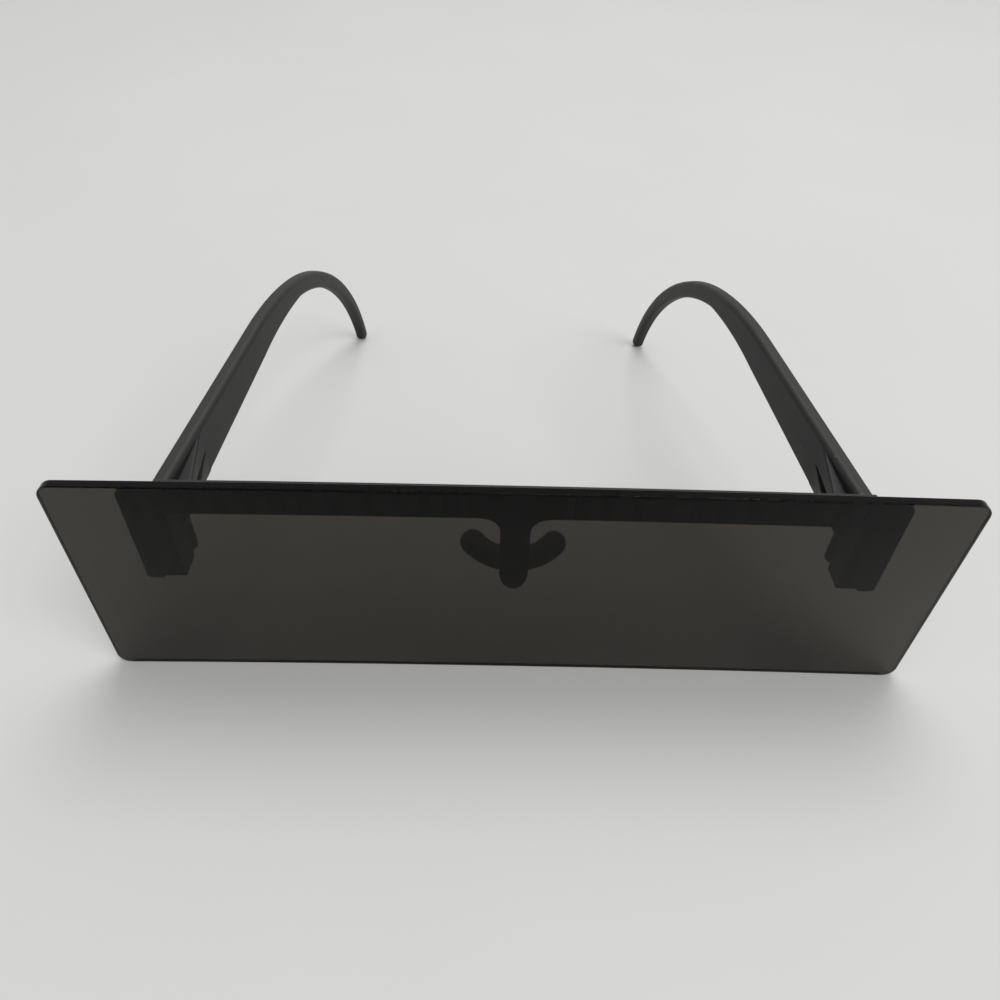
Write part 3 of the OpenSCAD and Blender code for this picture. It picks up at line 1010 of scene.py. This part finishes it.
def moulding(name, colour, rubbed, roughness, grain, depth, dust, wear):
    """A moulded black plastic; depth is the grain's depth in millimetres"""
    made, tree, shader = new_material(name)
    relief = place_group(tree, grain_group, {"Grains per metre": grain})
    darker = (*(c * (1 - SHADE_SPREAD) for c in colour), 1)
    lighter = (*(c * (1 + SHADE_SPREAD) for c in colour), 1)
    shade = mixed(tree, relief["Mask"], darker, lighter)
    values = {"Colour": shade, "Rubbed": (*rubbed, 1), "Amount": wear}
    rubs = place_group(tree, rub_group, values)
    dusty = place_group(tree, dust_group, {"Colour": rubs["Colour"], "Amount": dust})
    smooth, rough = roughness - ROUGH_SPREAD, roughness + ROUGH_SPREAD
    varied = ranged(tree, relief["Mask"], to_low=smooth, to_high=rough)
    fill(tree, shader, {
        "Base Color": dusty["Colour"],
        "Roughness": sums(tree, "MULTIPLY_ADD", rubs["Mask"], -RUB_SHINE, varied),
        "Specular IOR Level": BLACK_SHINE,
        "Normal": bumped(tree, relief["Height"], depth),
    })
    print("made", name)
    return made


frame_black = moulding(
    "satin_black_plastic", colour=(0.010, 0.010, 0.0105), rubbed=(0.05, 0.05, 0.05),
    roughness=0.38, grain=3600.0, depth=0.012, dust=0.35, wear=0.6,
)
temple_black = moulding(
    "matte_black_plastic", colour=(0.017, 0.017, 0.017), rubbed=(0.06, 0.06, 0.06),
    roughness=0.52, grain=4600.0, depth=0.03, dust=0.4, wear=0.7,
)
rest_black = moulding(
    "soft_black_vinyl", colour=(0.016, 0.016, 0.016), rubbed=(0.03, 0.03, 0.03),
    roughness=0.6, grain=2600.0, depth=0.01, dust=0.6, wear=0.2,
)

# %% [markdown]
# ## Smoke-tinted acrylic
#
# Dyed acrylic lets about a twentieth of the light through, a little warm. A plain
# transparent mix would lose the thickness, so this is a real slab: the principled
# shader's transmission with the index of acrylic, tinted by its base colour on the
# way through. Its mirror image of the table is held low by the specular tint, as in
# the photograph. Wiping leaves faint smears, which only change roughness.

# %% Tinted panel
SMEARS_PER_METRE, WIPED, SMEARED = 45.0, 0.015, 0.07

tint, tree, shader = new_material("smoke_acrylic")
smears = noise(tree, SMEARS_PER_METRE, 5.0, Distortion=1.5)
fill(tree, shader, {
    "Base Color": (0.057, 0.052, 0.046, 1),
    "Roughness": ranged(tree, smears, 0.4, 0.75, WIPED, SMEARED),
    "IOR": 1.49,
    "Transmission Weight": 1.0,
    "Specular Tint": (0.12, 0.12, 0.12, 1),
})
print("made", tint.name)

# %% [markdown]
# ## Screw steel
#
# The screw heads are turned, so fine rings run round each one. They need the
# distance from the screw's axis, which is the length of the coordinates after the
# hinge's place is taken off. The two screws stand in different places, so each gets
# a material of its own from the same function.

# %% Screw steel
RING_RATE, RING_DEPTH = 60000.0, 0.004
SPOTS_PER_METRE = 1500.0


def screw_steel(name, side):
    """Plain turned steel, with rings round one screw's axis"""
    made, tree, shader = new_material(name)
    to_axis = (-side * HINGE_X * MM, -HINGE_Y * MM, 0)
    sockets = {"Vector": position(tree), "Location": to_axis, "Scale": (1, 1, 0)}
    centred = put(tree, "ShaderNodeMapping", sockets).outputs[0]
    length = put(tree, "ShaderNodeVectorMath", {0: centred}, operation="LENGTH")
    turns = sums(tree, "MULTIPLY", length.outputs["Value"], RING_RATE)
    spots = noise(tree, SPOTS_PER_METRE, 3.0)
    fill(tree, shader, {
        "Base Color": mixed(tree, spots, (0.42, 0.42, 0.43, 1), (0.62, 0.61, 0.60, 1)),
        "Metallic": 1.0,
        "Roughness": ranged(tree, spots, to_low=0.25, to_high=0.45),
        "Normal": bumped(tree, sums(tree, "SINE", turns), RING_DEPTH, strength=0.5),
    })
    print("made", name)
    return made


steel_right = screw_steel("screw_steel_right", 1)
steel_left = screw_steel("screw_steel_left", -1)

# %% [markdown]
# The adhesive is a thin black film. It shows only as a line at the frame's edge, with
# a soft unevenness where it was pressed.

# %% Adhesive film
PRESSED_PER_METRE = 300.0

film_black, tree, shader = new_material("adhesive_film")
pressed = noise(tree, PRESSED_PER_METRE, 3.0)
fill(tree, shader, {
    "Base Color": mixed(tree, pressed, (0.008, 0.008, 0.008, 1), (0.022, 0.021, 0.02, 1)),
    "Roughness": 0.45,
})
print("made", film_black.name)

# %% [markdown]
# The table stays plain: a pale matte top with the faintest mottling, so that its
# shading is only that of the light. It isn't part of the object.

# %% Table top
MOTTLES_PER_METRE = 9.0

top, tree, shader = new_material("pale_table")
mottle = noise(tree, MOTTLES_PER_METRE, 4.0)
fill(tree, shader, {
    "Base Color": mixed(tree, mottle, (0.66, 0.66, 0.65, 1), (0.70, 0.70, 0.69, 1)),
    "Roughness": 0.7,
    "Specular IOR Level": 0.1,
})
print("made", top.name)

# %% [markdown]
# ## Dress the pieces and hang them on the moving bodies
#
# Every piece gets its finish, stands in for its measured solid, and rides on the
# body that carries it, so that the temples fold with their screws. The adhesive
# films keep their measured solids, because a film that thin has no other shape.

# %% Finishes, bodies and slots
def dress(piece, material, body, node):
    """Gives a piece its finish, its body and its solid"""
    piece.data.materials.clear()
    piece.data.materials.append(material)
    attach(piece, body)
    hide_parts(node)
    print(piece.name, "rides on", body, "and stands for", node)


dress(panel, tint, "front", "lens_panel")
dress(brow, frame_black, "front", "brow_frame")
dress(rest, rest_black, "front", "nose_rest")
dress(arm_left, temple_black, "left_temple", "temple_left")
dress(arm_right, temple_black, "right_temple", "temple_right")
dress(screw_left, steel_left, "left_temple", "hinge_screw_left")
dress(screw_right, steel_right, "right_temple", "hinge_screw_right")
for name in ("bond_brow", "bond_left", "bond_right"):
    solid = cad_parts[name]
    solid.data.materials.clear()
    solid.data.materials.append(film_black)
table.data.materials.append(top)

# %% [markdown]
# ## Let go of every piece
#
# At the end nothing stays selected. The dressed model has to fill the same box as
# the measured solids.

# %% Let go
let_go()
